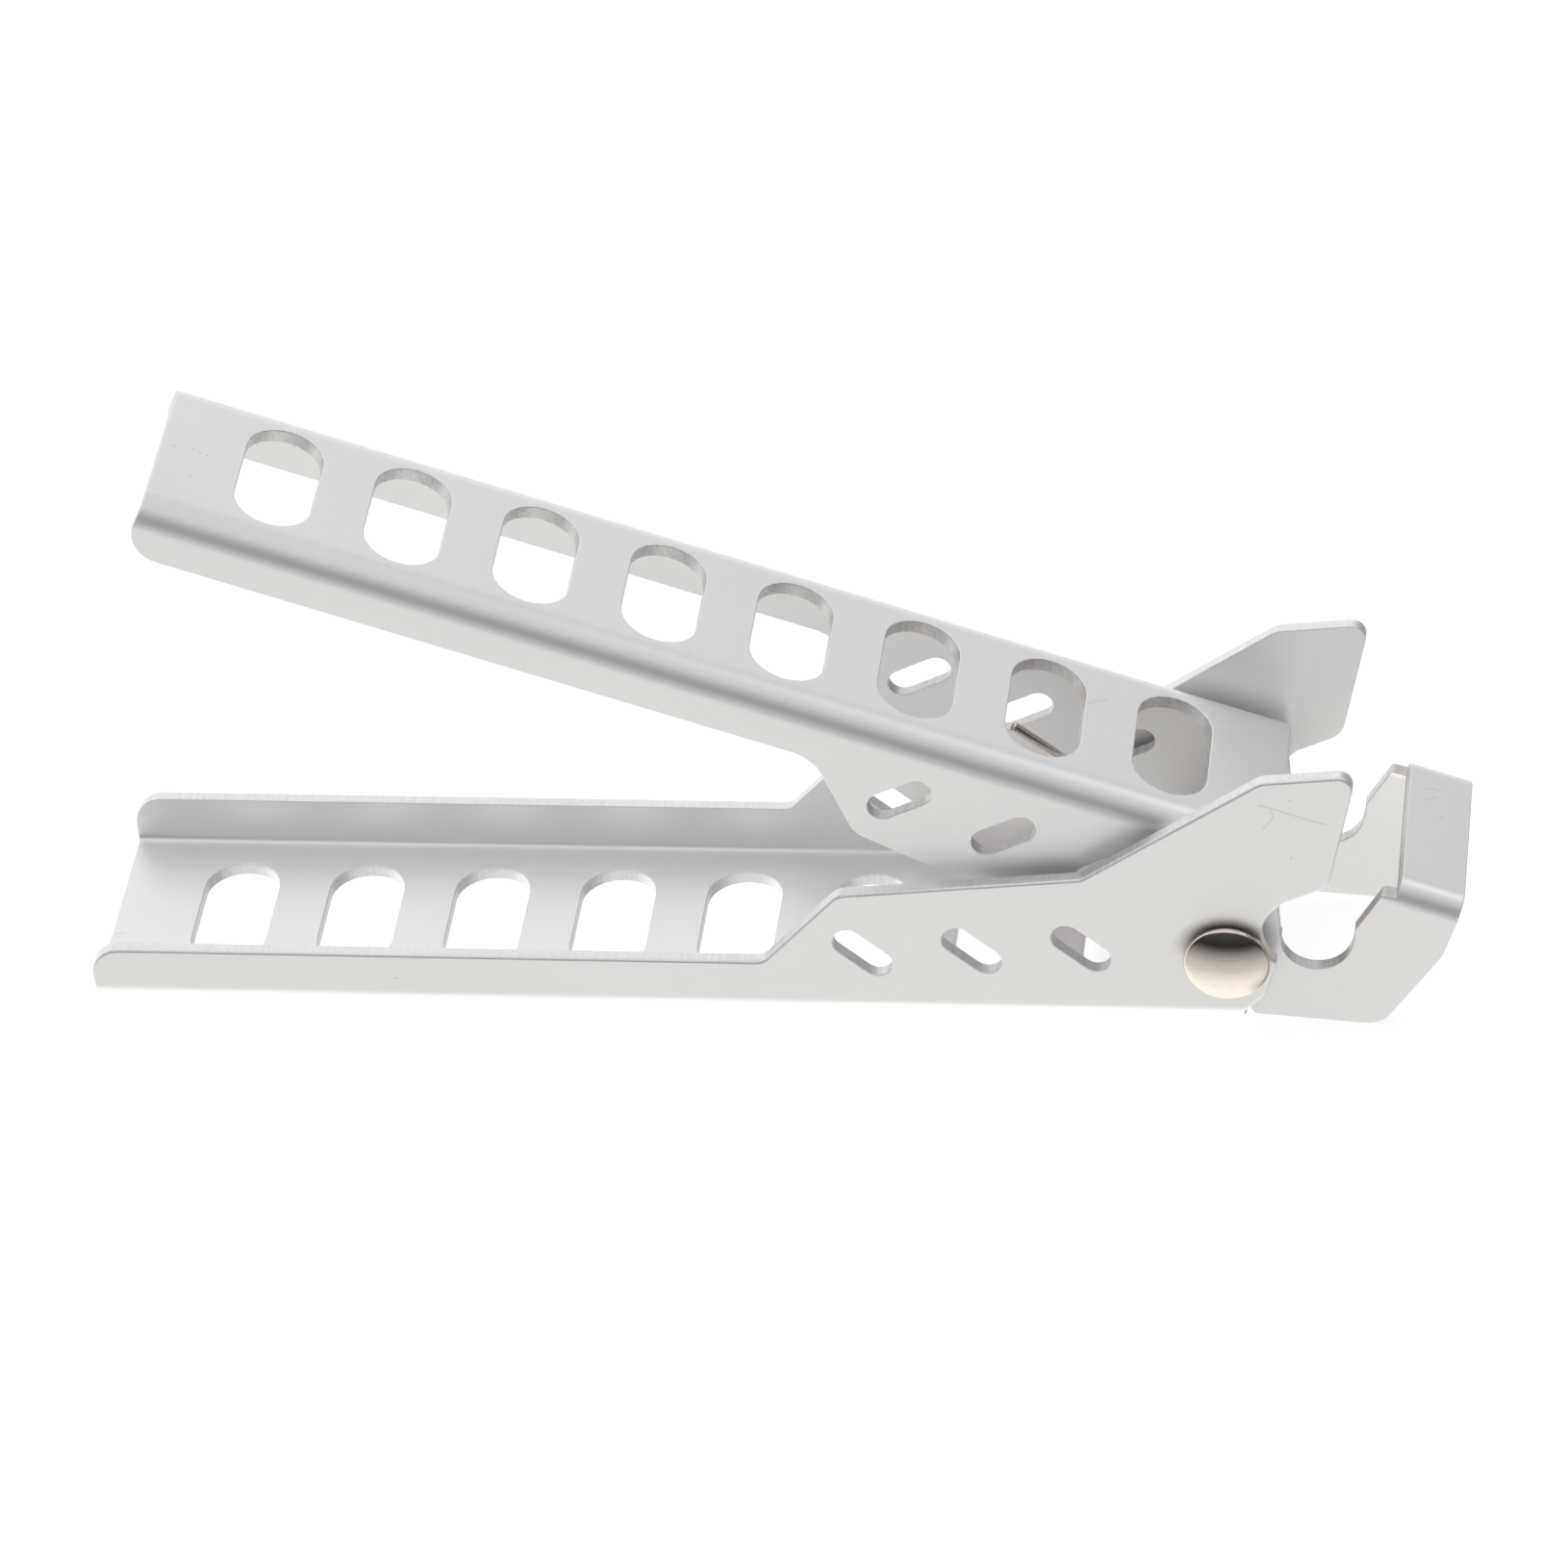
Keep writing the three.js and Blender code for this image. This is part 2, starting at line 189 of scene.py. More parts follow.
# Each surface's colours, from dark to light.
ALUMINIUM = ((0.95, 0.945, 0.94, 1), (0.97, 0.965, 0.96, 1))
LOWER_CUT = ((0.82, 0.81, 0.815, 1), (0.95, 0.94, 0.95, 1))
# Painted shade: the upper lever's cut faces get a darker copy of the same cut-face grey, standing in
# for the shadow they lie in.
UPPER_CUT_SHADED = ((0.62, 0.61, 0.605, 1), (0.80, 0.79, 0.78, 1))
NICKEL = ((0.75, 0.675, 0.61, 1), (0.80, 0.73, 0.66, 1))
WIRE = ((0.64, 0.57, 0.53, 1), (0.72, 0.66, 0.62, 1))
STEEL = ((0.60, 0.60, 0.59, 1), (0.72, 0.72, 0.70, 1))
PAPER = ((0.93, 0.93, 0.93, 1), (0.95, 0.95, 0.95, 1))
SCRATCH = (0.45, 0.44, 0.43, 1)
SCRATCH_STRENGTH = 0.45
# Painted shade on the lower lever round the rivet head: a brown darkening that stands in for the
# head's contact shadow and its dark reflection.
RIVET_SHADE = (0.12, 0.085, 0.075, 1)
RIVET_SHADE_STRENGTH = 0.88
RIVET_SHADE_FALLOFF = 1.5
RIVET_SHADE_RING = (0.35, 1.9)  # from where to where it fades, outside the rivet head, in millimetres
RIVET_SHADE_LOWEST = 0.8  # above the pivot axis, in millimetres

# Each surface's roughness, from smooth to rough, and how much of a metal it is.
SHEET_ROUGHNESS = (0.44, 0.48)
SHEET_METALLIC = 0.73
CUT_ROUGHNESS = (0.38, 0.48)
CUT_METALLIC = 0.85
NICKEL_ROUGHNESS = (0.07, 0.13)
STEEL_ROUGHNESS = (0.30, 0.42)
WIRE_ROUGHNESS = 0.24
PAPER_ROUGHNESS = 0.9
PAPER_SPECULAR = 0.1

# How fine each texture is along X, Y and Z: about how many waves there are in a metre.
CLOUDS = (45, 45, 45)
BRUSH_LINES = (2400, 110, 110)
GRAIN = (3600, 3600, 3600)
BEND_WRINKLES = (420, 1900, 1900)
CUT_THROUGH_WEB = (2600, 2600, 150)
CUT_THROUGH_FLANGE = (2600, 150, 2600)
NICKEL_HAZE = (700, 700, 700)
NICKEL_DENTS = (520, 520, 1300)
WIRE_TONE = (500, 500, 500)
LATHE_RINGS = (120, 5200, 120)
PAPER_TONE = (30, 30, 30)
BUMP_DEPTH = 0.02  # in millimetres
SHEET_BUMP = 0.04
CUT_BUMP = 0.12
NICKEL_BUMP = 0.12
STEEL_BUMP = 0.10

# ---------------------------------------------------------------- node materials

class Nodes:
    """Short calls for building one material's node tree."""

    def __init__(self, name):
        self.material = bpy.data.materials.new(name)
        self.material.use_nodes = True
        self.tree = self.material.node_tree
        self.shader = self.tree.nodes["Principled BSDF"]
        self.coords = self.tree.nodes.new("ShaderNodeTexCoord").outputs["Object"]

    def add(self, kind, **settings):
        node = self.tree.nodes.new(kind)
        for key, value in settings.items():
            setattr(node, key, value)
        return node

    def plug(self, socket, value):
        if isinstance(value, bpy.types.NodeSocket):
            self.tree.links.new(value, socket)
        else:
            socket.default_value = value

    def math(self, operation, a, b=0.0):
        node = self.add("ShaderNodeMath", operation=operation)
        self.plug(node.inputs[0], a)
        self.plug(node.inputs[1], b)
        return node.outputs[0]

    def vector(self, operation, a, b=(0, 0, 0), scale=1.0):
        """A vector's own arithmetic; a length or a dot product comes out as a number."""
        node = self.add("ShaderNodeVectorMath", operation=operation)
        self.plug(node.inputs[0], a)
        self.plug(node.inputs[1], b)
        self.plug(node.inputs[3], scale)
        as_number = operation in ("LENGTH", "DOT_PRODUCT")
        return node.outputs[1 if as_number else 0]

    def in_lever(self, tilt):
        """Coordinates in a lever's own frame, in millimetres from the pivot."""
        from_pivot = self.vector("SUBTRACT", self.coords, tuple(PIVOT))
        node = self.add("ShaderNodeMapping", vector_type="POINT")
        self.plug(node.inputs["Vector"], from_pivot)
        node.inputs["Rotation"].default_value = (0, math.radians(-tilt), 0)
        return self.vector("SCALE", node.outputs[0], scale=1000)

    def stroke(self, place, flatten, points, half_width):
        """1 along a line through the points and 0 away from it; `flatten` squashes its depth."""
        squashed = self.vector("MULTIPLY", place, flatten)
        line = None
        for start, end in zip(points, points[1:]):
            start = Vector(start) * Vector(flatten)
            along = Vector(end) * Vector(flatten) - start
            away = self.vector("SUBTRACT", squashed, tuple(start))
            share = self.vector("DOT_PRODUCT", away, tuple(along / along.length_squared))
            share = self.spread(share, 0, 1, 0, 1)
            nearest = self.vector("SCALE", tuple(along), scale=share)
            distance = self.vector("LENGTH", self.vector("SUBTRACT", away, nearest))
            piece = self.spread(distance, half_width * 0.4, half_width * 1.6, 1, 0)
            line = piece if line is None else self.math("MAXIMUM", line, piece)
        return line

    def scaled(self, scale, turn=0.0):
        """Object coordinates turned about Y by `turn` degrees, then scaled."""
        turned = self.add("ShaderNodeMapping", vector_type="POINT")
        self.plug(turned.inputs["Vector"], self.coords)
        turned.inputs["Rotation"].default_value = (0, math.radians(turn), 0)
        node = self.add("ShaderNodeMapping", vector_type="POINT")
        self.plug(node.inputs["Vector"], turned.outputs[0])
        node.inputs["Scale"].default_value = scale
        return node.outputs[0]

    def noise(self, vector, detail=2.0, roughness=0.5):
        """Noise from 0 to 1 in coordinates that are scaled already."""
        node = self.add("ShaderNodeTexNoise")
        self.plug(node.inputs["Vector"], vector)
        node.inputs["Scale"].default_value = 1.0
        node.inputs["Detail"].default_value = detail
        node.inputs["Roughness"].default_value = roughness
        return node.outputs["Fac"]

    def spread(self, value, low, high, to_low, to_high):
        """The range from low to high stretched to another range, and no further."""
        node = self.add("ShaderNodeMapRange", clamp=True)
        self.plug(node.inputs["Value"], value)
        for name, number in zip(("From Min", "From Max", "To Min", "To Max"),
                                (low, high, to_low, to_high)):
            node.inputs[name].default_value = number
        return node.outputs[0]

    def mix_colour(self, factor, a, b):
        node = self.add("ShaderNodeMix", data_type="RGBA")
        self.plug(node.inputs["Factor"], factor)
        self.plug(node.inputs["A"], a)
        self.plug(node.inputs["B"], b)
        return node.outputs["Result"]

    def bump(self, height, strength):
        node = self.add("ShaderNodeBump")
        self.plug(node.inputs["Height"], height)
        node.inputs["Strength"].default_value = strength
        node.inputs["Distance"].default_value = mm(BUMP_DEPTH)
        self.plug(self.shader.inputs["Normal"], node.outputs[0])


def largest(n, masks):
    """The greatest of several masks."""
    total = masks[0]
    for mask in masks[1:]:
        total = n.math("MAXIMUM", total, mask)
    return total


def bend_mask(n, place, bends):
    """1 on the sheet's bends and 0 on its flats."""
    parts = n.add("ShaderNodeSeparateXYZ")
    n.plug(parts.inputs[0], place)
    beside = n.math("ABSOLUTE", parts.outputs["Y"])
    masks = []
    for web_face, bend, half_width, _, _ in bends:
        from_web = n.math("ABSOLUTE", n.math("SUBTRACT", parts.outputs["Z"], web_face))
        near_web = n.spread(from_web, bend * 0.7, bend * 1.1, 1, 0)
        near_flange = n.spread(beside, half_width - bend * 1.1, half_width - bend * 0.7, 0, 1)
        masks.append(n.math("MULTIPLY", near_web, near_flange))
    return largest(n, masks)


def satin_aluminium(name, tilt, bends, marks, shade_round_rivet=False):
    """Satin anodised sheet: fine grain, soft clouds, wrinkled bends and a few scratches."""
    n = Nodes(name)
    place = n.in_lever(tilt)
    clouds = n.noise(n.scaled(CLOUDS), detail=3)
    lines = n.noise(n.scaled(BRUSH_LINES, tilt), roughness=0.6)
    grain = n.noise(n.scaled(GRAIN), detail=1)
    wrinkles = n.noise(n.scaled(BEND_WRINKLES, tilt))
    wrinkles = n.math("MULTIPLY", wrinkles, bend_mask(n, place, bends))
    scratches = largest(n, [n.stroke(place, flatten, points, half_width)
                            for flatten, group in marks for points, half_width in group])
    texture = n.math("ADD", n.math("MULTIPLY", lines, 0.5), n.math("MULTIPLY", clouds, 0.5))
    colour = n.mix_colour(n.spread(texture, 0.3, 0.7, 0, 1), *ALUMINIUM)
    colour = n.mix_colour(n.math("MULTIPLY", scratches, SCRATCH_STRENGTH), colour, SCRATCH)
    # Painted shade: the rivet head's contact shadow and dark reflection, darkened into the colour.
    if shade_round_rivet:
        colour = n.mix_colour(painted_shade_above_rivet(n, place), colour, RIVET_SHADE)
    n.plug(n.shader.inputs["Base Color"], colour)
    n.shader.inputs["Metallic"].default_value = SHEET_METALLIC
    n.plug(n.shader.inputs["Roughness"], n.spread(lines, 0.3, 0.7, *SHEET_ROUGHNESS))
    height = n.math("ADD", n.math("MULTIPLY", lines, 0.3), n.math("MULTIPLY", grain, 0.3))
    height = n.math("ADD", height, n.math("MULTIPLY", wrinkles, 1.6))
    height = n.math("SUBTRACT", height, scratches)
    n.bump(height, SHEET_BUMP)
    return n.material


def sheared_aluminium(name, tilt, greys):
    """The cut faces of the sheet: duller, with the fine lines that the punch drew through it."""
    n = Nodes(name)
    through_web = n.noise(n.scaled(CUT_THROUGH_WEB, tilt))
    through_flange = n.noise(n.scaled(CUT_THROUGH_FLANGE, tilt))
    lines = n.math("ADD", n.math("MULTIPLY", through_web, 0.5),
                   n.math("MULTIPLY", through_flange, 0.5))
    grey = n.mix_colour(n.spread(lines, 0.35, 0.65, 0, 1), *greys)
    n.plug(n.shader.inputs["Base Color"], grey)
    n.shader.inputs["Metallic"].default_value = CUT_METALLIC
    n.plug(n.shader.inputs["Roughness"], n.spread(lines, 0.35, 0.65, *CUT_ROUGHNESS))
    n.bump(lines, CUT_BUMP)
    return n.material


def painted_shade_above_rivet(n, place):
    """A mask for painted shade round the rivet head, most of it above: a brown darkening that stands
    in for the head's contact shadow and its dark reflection.
    """
    from_axis = n.vector("LENGTH", n.vector("MULTIPLY", place, (1, 0, 1)))
    inner, outer = RIVET_SHADE_RING
    ring = n.spread(from_axis, HEAD_RADIUS + inner, HEAD_RADIUS + outer, 1, 0)
    parts = n.add("ShaderNodeSeparateXYZ")
    n.plug(parts.inputs[0], place)
    above = n.spread(parts.outputs["Z"], RIVET_SHADE_LOWEST, HEAD_RADIUS, 0, 1)
    outside = n.spread(parts.outputs["Y"], SHEET / 2 - LOWER_HALF_WIDTH, 0, 1, 0)
    faded = n.math("MULTIPLY", n.math("POWER", ring, RIVET_SHADE_FALLOFF),
                   n.math("MULTIPLY", above, outside))
    return n.math("MULTIPLY", faded, RIVET_SHADE_STRENGTH)


def polished_nickel():
    """Bright plate, a little warm, with faint handling marks and small dents."""
    n = Nodes("polished_nickel")
    haze = n.noise(n.scaled(NICKEL_HAZE), detail=4, roughness=0.6)
    warm = n.mix_colour(n.spread(haze, 0.3, 0.7, 0, 1), *NICKEL)
    dents = n.spread(n.noise(n.scaled(NICKEL_DENTS), detail=1), 0.66, 0.72, 0, 1)
    n.plug(n.shader.inputs["Base Color"], warm)
    n.shader.inputs["Metallic"].default_value = 1.0
    n.plug(n.shader.inputs["Roughness"], n.spread(haze, 0.35, 0.75, *NICKEL_ROUGHNESS))
    n.bump(n.math("SUBTRACT", n.math("MULTIPLY", haze, 0.3), dents), NICKEL_BUMP)
    return n.material


def drawn_wire():
    """Bright spring wire, browned by its heat treatment."""
    n = Nodes("drawn_wire")
    tone = n.noise(n.scaled(WIRE_TONE), detail=1)
    brown = n.mix_colour(tone, *WIRE)
    n.plug(n.shader.inputs["Base Color"], brown)
    n.shader.inputs["Metallic"].default_value = 1.0
    n.shader.inputs["Roughness"].default_value = WIRE_ROUGHNESS
    return n.material


def turned_steel():
    """Plain steel with the rings that a lathe tool leaves round the pivot axis."""
    n = Nodes("turned_steel")
    rings = n.noise(n.scaled(LATHE_RINGS))
    grey = n.mix_colour(n.spread(rings, 0.3, 0.7, 0, 1), *STEEL)
    n.plug(n.shader.inputs["Base Color"], grey)
    n.shader.inputs["Metallic"].default_value = 1.0
    n.plug(n.shader.inputs["Roughness"], n.spread(rings, 0.3, 0.7, *STEEL_ROUGHNESS))
    n.bump(rings, STEEL_BUMP)
    return n.material


def studio_floor():
    """Matt white paper that glows a little."""
    n = Nodes("studio_floor")
    white = n.mix_colour(n.noise(n.scaled(PAPER_TONE)), *PAPER)
    n.plug(n.shader.inputs["Base Color"], white)
    n.shader.inputs["Roughness"].default_value = PAPER_ROUGHNESS
    n.shader.inputs["Specular IOR Level"].default_value = PAPER_SPECULAR
    n.plug(n.shader.inputs["Emission Color"], white)
    n.shader.inputs["Emission Strength"].default_value = FLOOR_GLOW
    return n.material


# ---------------------------------------------------------------- meshes

def show(name, bm, *materials, smooth_below=40):
    """Puts a bmesh in the scene as a smooth-shaded piece whose edges above the angle stay sharp."""
    mesh = bpy.data.meshes.new(name)
    bm.to_mesh(mesh)
    bm.free()
    for material in materials:
        mesh.materials.append(material)
    for polygon in mesh.polygons:
        polygon.use_smooth = True
    mesh.set_sharp_from_angle(angle=math.radians(smooth_below))
    piece = bpy.data.objects.new(name, mesh)
    scene.collection.objects.link(piece)
    return piece


def depth_under_skin(place, bends):
    """How far a point of a lever lies under its outside surface, in its own frame, in mm."""
    depths = []
    for web_face, bend, half_width, from_x, to_x in bends:
        if not from_x <= place.x <= to_x:
            continue
        under = abs(place.z - web_face)
        beside = half_width - abs(place.y)
        if under < bend and beside < bend:
            depths.append(bend - math.hypot(bend - under, bend - beside))
        else:
            depths.append(min(under, beside))
    return min(depths)


def mark_cut_faces(bm, tilt, bends):
    """Gives the second material to the faces that run through the sheet's thickness."""
    for face in bm.faces:
        depths = [depth_under_skin(to_lever(vert.co, tilt), bends) for vert in face.verts]
        through = min(depths) < NEAR_SKIN and max(depths) > SHEET - NEAR_SKIN
        face.material_index = 1 if through else 0


def weigh_cut_edges(bm, tilt, bends, slot_row, outline_rounding):
    """Sets how much of the outline's rounding each cut edge gets: all of it on the outline itself."""
    weight = bm.edges.layers.float.new("bevel_weight_edge")
    from_x, to_x, from_z, to_z = slot_row
    for edge in bm.edges:
        if not edge.is_manifold or edge.calc_face_angle() < math.radians(CUT_ANGLE):
            continue
        ends = [to_lever(vert.co, tilt) for vert in edge.verts]
        in_slot_row = all(from_x < p.x < to_x and from_z < p.z < to_z for p in ends)
        on_web = any(abs(p.z - bend[0]) < NEAR_SKIN for p in ends for bend in bends)
        outline = max(depth_under_skin(p, bends) for p in ends) < ON_SKIN
        wide = outline and not in_slot_row and not on_web
        edge[weight] = 1.0 if wide else OTHER_ROUNDING / outline_rounding


def pressed_sheet(node, tilt, bends, slot_row, outline_rounding, skin, cut):
    """A CAD lever with its flats merged and every cut edge rounded over, its outline the most."""
    bm = bmesh.new()
    bm.from_mesh(frame["nodes"][node].data)
    bmesh.ops.remove_doubles(bm, verts=bm.verts, dist=mm(MERGE_DISTANCE))
    bmesh.ops.dissolve_limit(
        bm, angle_limit=math.radians(FLAT_ANGLE), verts=bm.verts, edges=bm.edges)
    mark_cut_faces(bm, tilt, bends)
    weigh_cut_edges(bm, tilt, bends, slot_row, outline_rounding)
    piece = show(node + "_sheet", bm, skin, cut, smooth_below=180)
    rounding = piece.modifiers.new("rounding", "BEVEL")
    rounding.limit_method = "WEIGHT"
    rounding.width = mm(outline_rounding)
    rounding.segments = ROUNDING_STEPS
    rounding.loop_slide = False
    rounding.use_clamp_overlap = False
    flats = piece.modifiers.new("flats", "WEIGHTED_NORMAL")
    flats.mode = "FACE_AREA"
    flats.weight = FLATS_WEIGHT
    return piece


def turned_piece(name, profile, material):
    """A solid of revolution round the pivot axis from closed points (radius, y) in millimetres."""
    bm = bmesh.new()
    rings = []
    for radius, y in profile:
        if radius == 0:
            rings.append([bm.verts.new(PIVOT + mm(0, y, 0))])
            continue
        ring = []
        for i in range(TURNED_SIDES):
            angle = 2 * math.pi * i / TURNED_SIDES
            ring.append(bm.verts.new(
                PIVOT + mm(radius * math.cos(angle), y, radius * math.sin(angle))))
        rings.append(ring)
    for first, second in zip(rings, rings[1:] + rings[:1]):
        if len(first) == len(second) == 1:
            continue
        for i in range(TURNED_SIDES):
            j = (i + 1) % TURNED_SIDES
            corners = [first[i % len(first)], first[j % len(first)],
                       second[j % len(second)], second[i % len(second)]]
            bm.faces.new(list(dict.fromkeys(corners)))
    bmesh.ops.recalc_face_normals(bm, faces=bm.faces)
    return show(name, bm, material, smooth_below=35)


def arc(centre, radius, start, end, steps):
    """Points of a circular arc, angles in degrees."""
    points = []
    for i in range(steps + 1):
        angle = math.radians(start + (end - start) * i / steps)
        points.append((centre[0] + radius * math.cos(angle), centre[1] + radius * math.sin(angle)))
    return points


def swept_wire(name, path, radius, material):
    """A round wire along a path of points, with its cut ends chamfered."""
    bm = bmesh.new()
    chamfer = radius * WIRE_CHAMFER
    first = (path[1] - path[0]).normalized()
    last = (path[-1] - path[-2]).normalized()
    stations = [(path[0], radius - chamfer)]
    stations.append((path[0] + first * chamfer, radius))
    stations += [(point, radius) for point in path[1:-1]]
    stations.append((path[-1] - last * chamfer, radius))
    stations.append((path[-1], radius - chamfer))
    across = first.orthogonal().normalized()
    forward = first
    rings = []
    for i, (point, size) in enumerate(stations):
        ahead = stations[min(i + 1, len(stations) - 1)][0]
        behind = stations[max(i - 1, 0)][0]
        new_forward = (ahead - behind).normalized()
        across = forward.rotation_difference(new_forward) @ across
        forward = new_forward
        turn = [Quaternion(forward, 2 * math.pi * k / WIRE_SIDES) for k in range(WIRE_SIDES)]
        rings.append([bm.verts.new(point + (q @ across) * size) for q in turn])
    for one, two in zip(rings, rings[1:]):
        for k in range(WIRE_SIDES):
            m = (k + 1) % WIRE_SIDES
            bm.faces.new((one[k], one[m], two[m], two[k]))
    bm.faces.new(rings[0][::-1])
    bm.faces.new(rings[-1])
    bmesh.ops.recalc_face_normals(bm, faces=bm.faces)
    return show(name, bm, material)


# ---------------------------------------------------------------- the pieces

def make_levers():
    on_flange = (1, 0.1, 1)
    on_web = (1, 1, 0.1)
    lower_marks = ((on_flange, LOWER_FLANGE_MARKS), (on_web, LOWER_WEB_MARKS))
    # The lower lever's sheet carries painted shade round the rivet head.
    lower_metal = satin_aluminium(
        "lower_aluminium", LOWER_TILT, LOWER_BENDS, lower_marks, shade_round_rivet=True)
    lower = pressed_sheet("lower_lever", LOWER_TILT, LOWER_BENDS, LOWER_SLOT_ROW,
                          OUTLINE_ROUNDING, lower_metal,
                          sheared_aluminium("lower_cut_faces", LOWER_TILT, LOWER_CUT))
    upper_marks = ((on_web, UPPER_WEB_MARKS),)
    upper_metal = satin_aluminium("upper_aluminium", UPPER_TILT, UPPER_BENDS, upper_marks)
    # The upper lever's cut faces use the darker grey, as painted shade.
    upper = pressed_sheet("upper_lever", UPPER_TILT, UPPER_BENDS, UPPER_SLOT_ROW,
                          OTHER_ROUNDING, upper_metal,
                          sheared_aluminium("upper_cut_faces_shaded", UPPER_TILT, UPPER_CUT_SHADED))
    for piece, name in ((lower, "lower"), (upper, "upper")):
        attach(piece, name)
        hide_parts(name + "_lever")


def dome_profile():
    """Outside of a rivet head from its seat to its crown, as (radius, height above the seat).

    A rim rounded by HEAD_RIM meets the dome without a crease.
    """
    rise = HEAD_HEIGHT - 2 * HEAD_RIM
    edge = HEAD_RADIUS - HEAD_RIM
    inner = (edge ** 2 + rise ** 2) / (2 * rise)
    ball = inner + HEAD_RIM
    swing = math.degrees(math.asin(edge / inner))
    skirt = arc((edge, HEAD_RIM), HEAD_RIM, -90, 90 - swing, HEAD_RIM_STEPS)
    dome = arc((0, HEAD_HEIGHT - ball), ball, 90 - swing, 90, DOME_STEPS)
    return skirt + dome[1:-1] + [(0, HEAD_HEIGHT)]


def make_rivet():
    nickel = polished_nickel()
    seat = LOWER_HALF_WIDTH
    dome = dome_profile()
    tip = seat + SHANK_REACH
    near = [(0, tip), (SHANK_RADIUS, tip), (SHANK_RADIUS, -seat)]
    near += [(radius, -seat - height) for radius, height in dome]
    rivet = turned_piece("rivet_with_shank", near, nickel)
    for vert in rivet.data.vertices:
        if vert.co.y < PIVOT.y - mm(seat + TOLERANCE):
            vert.co.z += mm(HEAD_LIFT)
    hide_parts("pivot_rivet")
    hole = SHANK_RADIUS + CAP_CLEARANCE
    far = [(hole, seat)] + [(radius, seat + height) for radius, height in dome]
    far += [(0, seat + CAP_DEPTH), (hole, seat + CAP_DEPTH)]
    cap = turned_piece("rivet_cap_domed", far, nickel)
    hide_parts("rivet_cap")
    for piece in (rivet, cap):
        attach(piece, "lower")


def tube_profile(inner, outer, start, end, chamfer):
    """A tube's section as points (radius, y), with its four corners cut."""
    return [(inner, start + chamfer), (inner + chamfer, start), (outer - chamfer, start),
            (outer, start + chamfer), (outer, end - chamfer), (outer - chamfer, end),
            (inner + chamfer, end), (inner, end - chamfer)]


def make_steel_rings():
    steel = turned_steel()
    bore = SHANK_RADIUS + BORE_CLEARANCE
    inside = UPPER_HALF_WIDTH - SHEET - SLEEVE_END_GAP
    sleeve = turned_piece(
        "sleeve_turned", tube_profile(bore, SLEEVE_RADIUS, -inside, inside, SLEEVE_CHAMFER), steel)
    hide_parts("spacer_sleeve")
    pieces = [sleeve]
    middle = (UPPER_HALF_WIDTH + LOWER_HALF_WIDTH - SHEET) / 2
    half = WASHER_THICKNESS / 2
    for side, name in ((-1, "near"), (1, "far")):
        profile = tube_profile(
            bore, WASHER_RADIUS, side * middle - half, side * middle + half, WASHER_CHAMFER)
        washer = turned_piece(f"washer_{name}_turned", profile, steel)
        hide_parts(f"washer_{name}")
        pieces.append(washer)
    for piece in pieces:
        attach(piece, "lower")


def make_spring():
    """Leg on the lower web, coil round the sleeve, and a leg that ends in an upper web hole."""
    lower_foot = from_lever(SPRING_LOWER_FOOT, LOWER_TILT)
    upper_foot = from_lever(SPRING_UPPER_FOOT, UPPER_TILT)

    def tangent_angle(foot, turn):
        away = foot - PIVOT
        return math.atan2(away.z, away.x) + turn * math.acos(
            mm(COIL_RADIUS) / math.hypot(away.x, away.z))

    start = tangent_angle(lower_foot, 1)
    end = tangent_angle(upper_foot, -1) + 2 * math.pi * (COIL_TURNS - 1)
    half = (end - start) / (2 * math.pi) * COIL_PITCH / 2
    coil = []
    for i in range(COIL_STEPS + 1):
        angle = start + (end - start) * i / COIL_STEPS
        y = half * (1 - 2 * i / COIL_STEPS)
        coil.append(PIVOT + mm(COIL_RADIUS * math.cos(angle), y, COIL_RADIUS * math.sin(angle)))
    lower_leg = [lower_foot.lerp(coil[0], i / LEG_STEPS) for i in range(LEG_STEPS)]
    upper_leg = [coil[-1].lerp(upper_foot, (i + 1) / LEG_STEPS) for i in range(LEG_STEPS)]
    spring = swept_wire("spring_wire", lower_leg + coil + upper_leg, mm(WIRE_RADIUS), drawn_wire())
    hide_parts("torsion_spring")
    # The coil's turns share out the twist along the pivot axis. Each leg lies beyond the coil's end.
    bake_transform(spring)


# ---------------------------------------------------------------- studio

def make_floor():
    """A white table that glows a little, so that shadows on it stay faint.

    Polished metal mirrors the world's gradient instead of the table: both flags go off together, or
    the metal would lose the light that comes from below.
    """
    bm = bmesh.new()
    bmesh.ops.create_grid(bm, x_segments=1, y_segments=1, size=FLOOR_REACH)
    floor = show("studio_floor", bm, studio_floor())
    floor.visible_glossy = False
    floor.visible_shadow = False


def square_light(name, place, aim, side, power):
    data = bpy.data.lights.new(name, "AREA")
    data.shape = "SQUARE"
    data.size = side
    data.energy = power
    light = bpy.data.objects.new(name, data)
    light.location = place
    light.rotation_euler = (Vector(aim) - Vector(place)).to_track_quat("-Z", "Y").to_euler()
    scene.collection.objects.link(light)


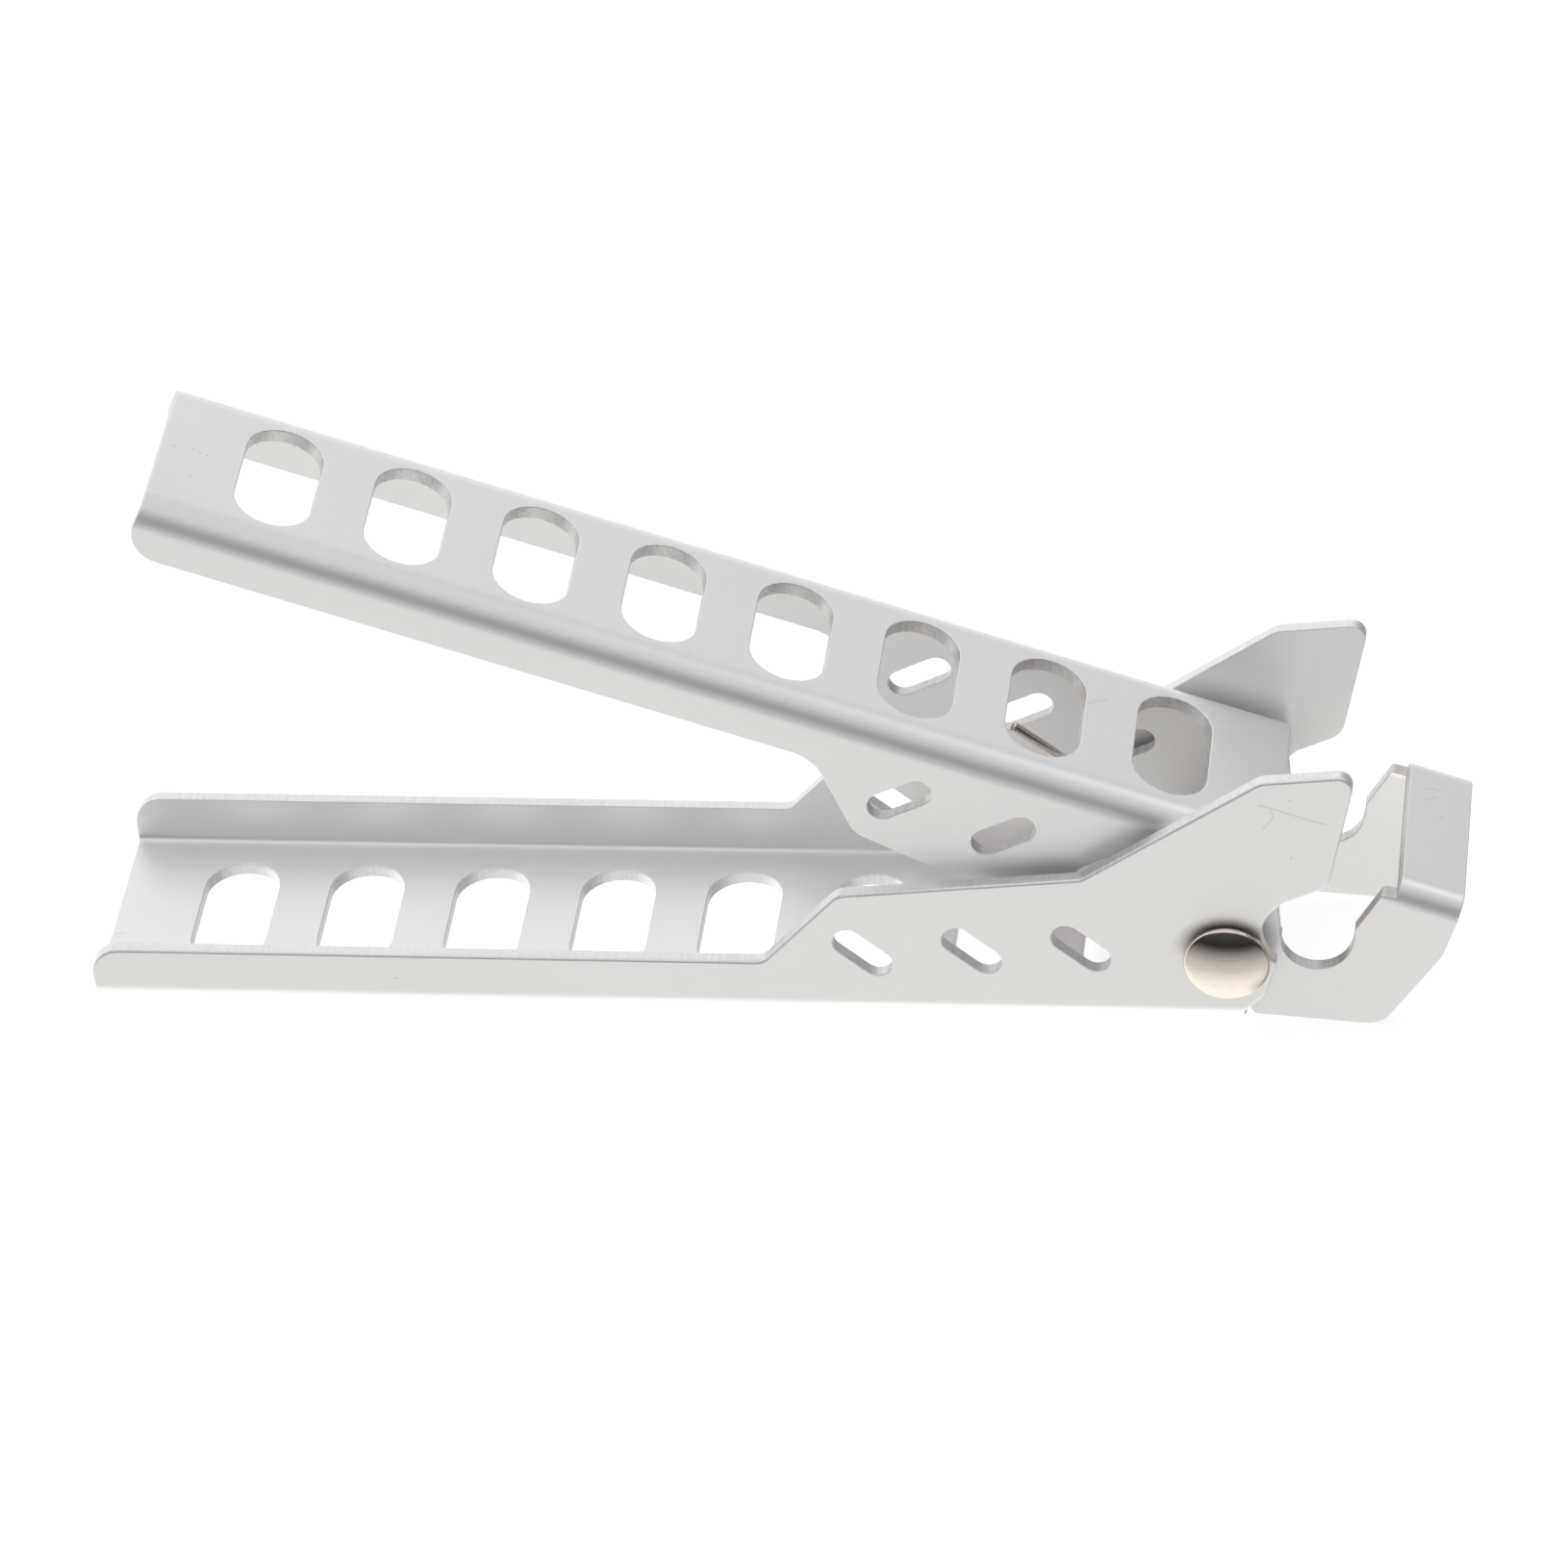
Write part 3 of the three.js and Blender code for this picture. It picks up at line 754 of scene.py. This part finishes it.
def make_world():
    """A white tent, open and dark in front where the photographer stands."""
    world = bpy.data.worlds.new("studio")
    scene.world = world
    world.use_nodes = True
    tree = world.node_tree

    def ramp(height, lights):
        node = tree.nodes.new("ShaderNodeValToRGB")
        stops = node.color_ramp.elements
        for position, (z, light, tint) in enumerate(lights):
            stop = stops[position] if position < 2 else stops.new((z + 1) / 2)
            stop.position = (z + 1) / 2
            stop.color = (light * tint[0], light * tint[1], light * tint[2], 1)
        tree.links.new(height, node.inputs["Fac"])
        return node.outputs["Color"]

    direction = tree.nodes.new("ShaderNodeTexCoord").outputs["Generated"]
    split = tree.nodes.new("ShaderNodeSeparateXYZ")
    tree.links.new(direction, split.inputs[0])
    halved = tree.nodes.new("ShaderNodeMath")
    halved.operation = "MULTIPLY_ADD"
    halved.inputs[1].default_value = 0.5
    halved.inputs[2].default_value = 0.5
    tree.links.new(split.outputs["Z"], halved.inputs[0])
    front = tree.nodes.new("ShaderNodeMapRange")
    front.interpolation_type = "SMOOTHSTEP"
    front.inputs["From Min"].default_value = OPENING_SIDES[0]
    front.inputs["From Max"].default_value = OPENING_SIDES[1]
    tree.links.new(split.outputs["Y"], front.inputs["Value"])
    tent = tree.nodes.new("ShaderNodeMix")
    tent.data_type = "RGBA"
    tree.links.new(front.outputs[0], tent.inputs["Factor"])
    sides = tree.nodes.new("ShaderNodeMapRange")
    for name, number in zip(("From Min", "From Max", "To Min", "To Max"), REAR_SIDES):
        sides.inputs[name].default_value = number
    tree.links.new(split.outputs["X"], sides.inputs["Value"])
    rear = tree.nodes.new("ShaderNodeVectorMath")
    rear.operation = "SCALE"
    tree.links.new(ramp(halved.outputs[0], REAR_LIGHT), rear.inputs[0])
    tree.links.new(sides.outputs[0], rear.inputs["Scale"])
    tree.links.new(rear.outputs[0], tent.inputs["A"])
    tree.links.new(ramp(halved.outputs[0], FRONT_LIGHT), tent.inputs["B"])
    path = tree.nodes.new("ShaderNodeLightPath")
    seen = tree.nodes.new("ShaderNodeMix")
    seen.data_type = "RGBA"
    tree.links.new(path.outputs["Is Camera Ray"], seen.inputs["Factor"])
    tree.links.new(tent.outputs["Result"], seen.inputs["A"])
    seen.inputs["B"].default_value = BACKDROP
    tree.links.new(seen.outputs["Result"], tree.nodes["Background"].inputs["Color"])


def make_studio():
    make_floor()
    make_world()
    square_light("softbox", SOFTBOX_PLACE, PIVOT, SOFTBOX_SIDE, SOFTBOX_POWER)
    scene.view_settings.view_transform = "Standard"


def make_camera():
    data = bpy.data.cameras.new("camera")
    data.sensor_width = SENSOR
    data.lens = CAMERA_LENS
    camera = bpy.data.objects.new("camera", data)
    azimuth = math.radians(CAMERA_AZIMUTH)
    elevation = math.radians(CAMERA_ELEVATION)
    back = Vector((math.sin(azimuth) * math.cos(elevation),
                   -math.cos(azimuth) * math.cos(elevation), math.sin(elevation)))
    camera.location = mm(*CAMERA_AIM) + back * mm(CAMERA_DISTANCE)
    level = (-back).to_track_quat("-Z", "Y")
    camera.rotation_mode = "QUATERNION"
    camera.rotation_quaternion = level @ Quaternion((0, 0, 1), math.radians(CAMERA_ROLL))
    scene.collection.objects.link(camera)
    scene.camera = camera


make_camera()
make_levers()
make_rivet()
make_steel_rings()
make_spring()
make_studio()
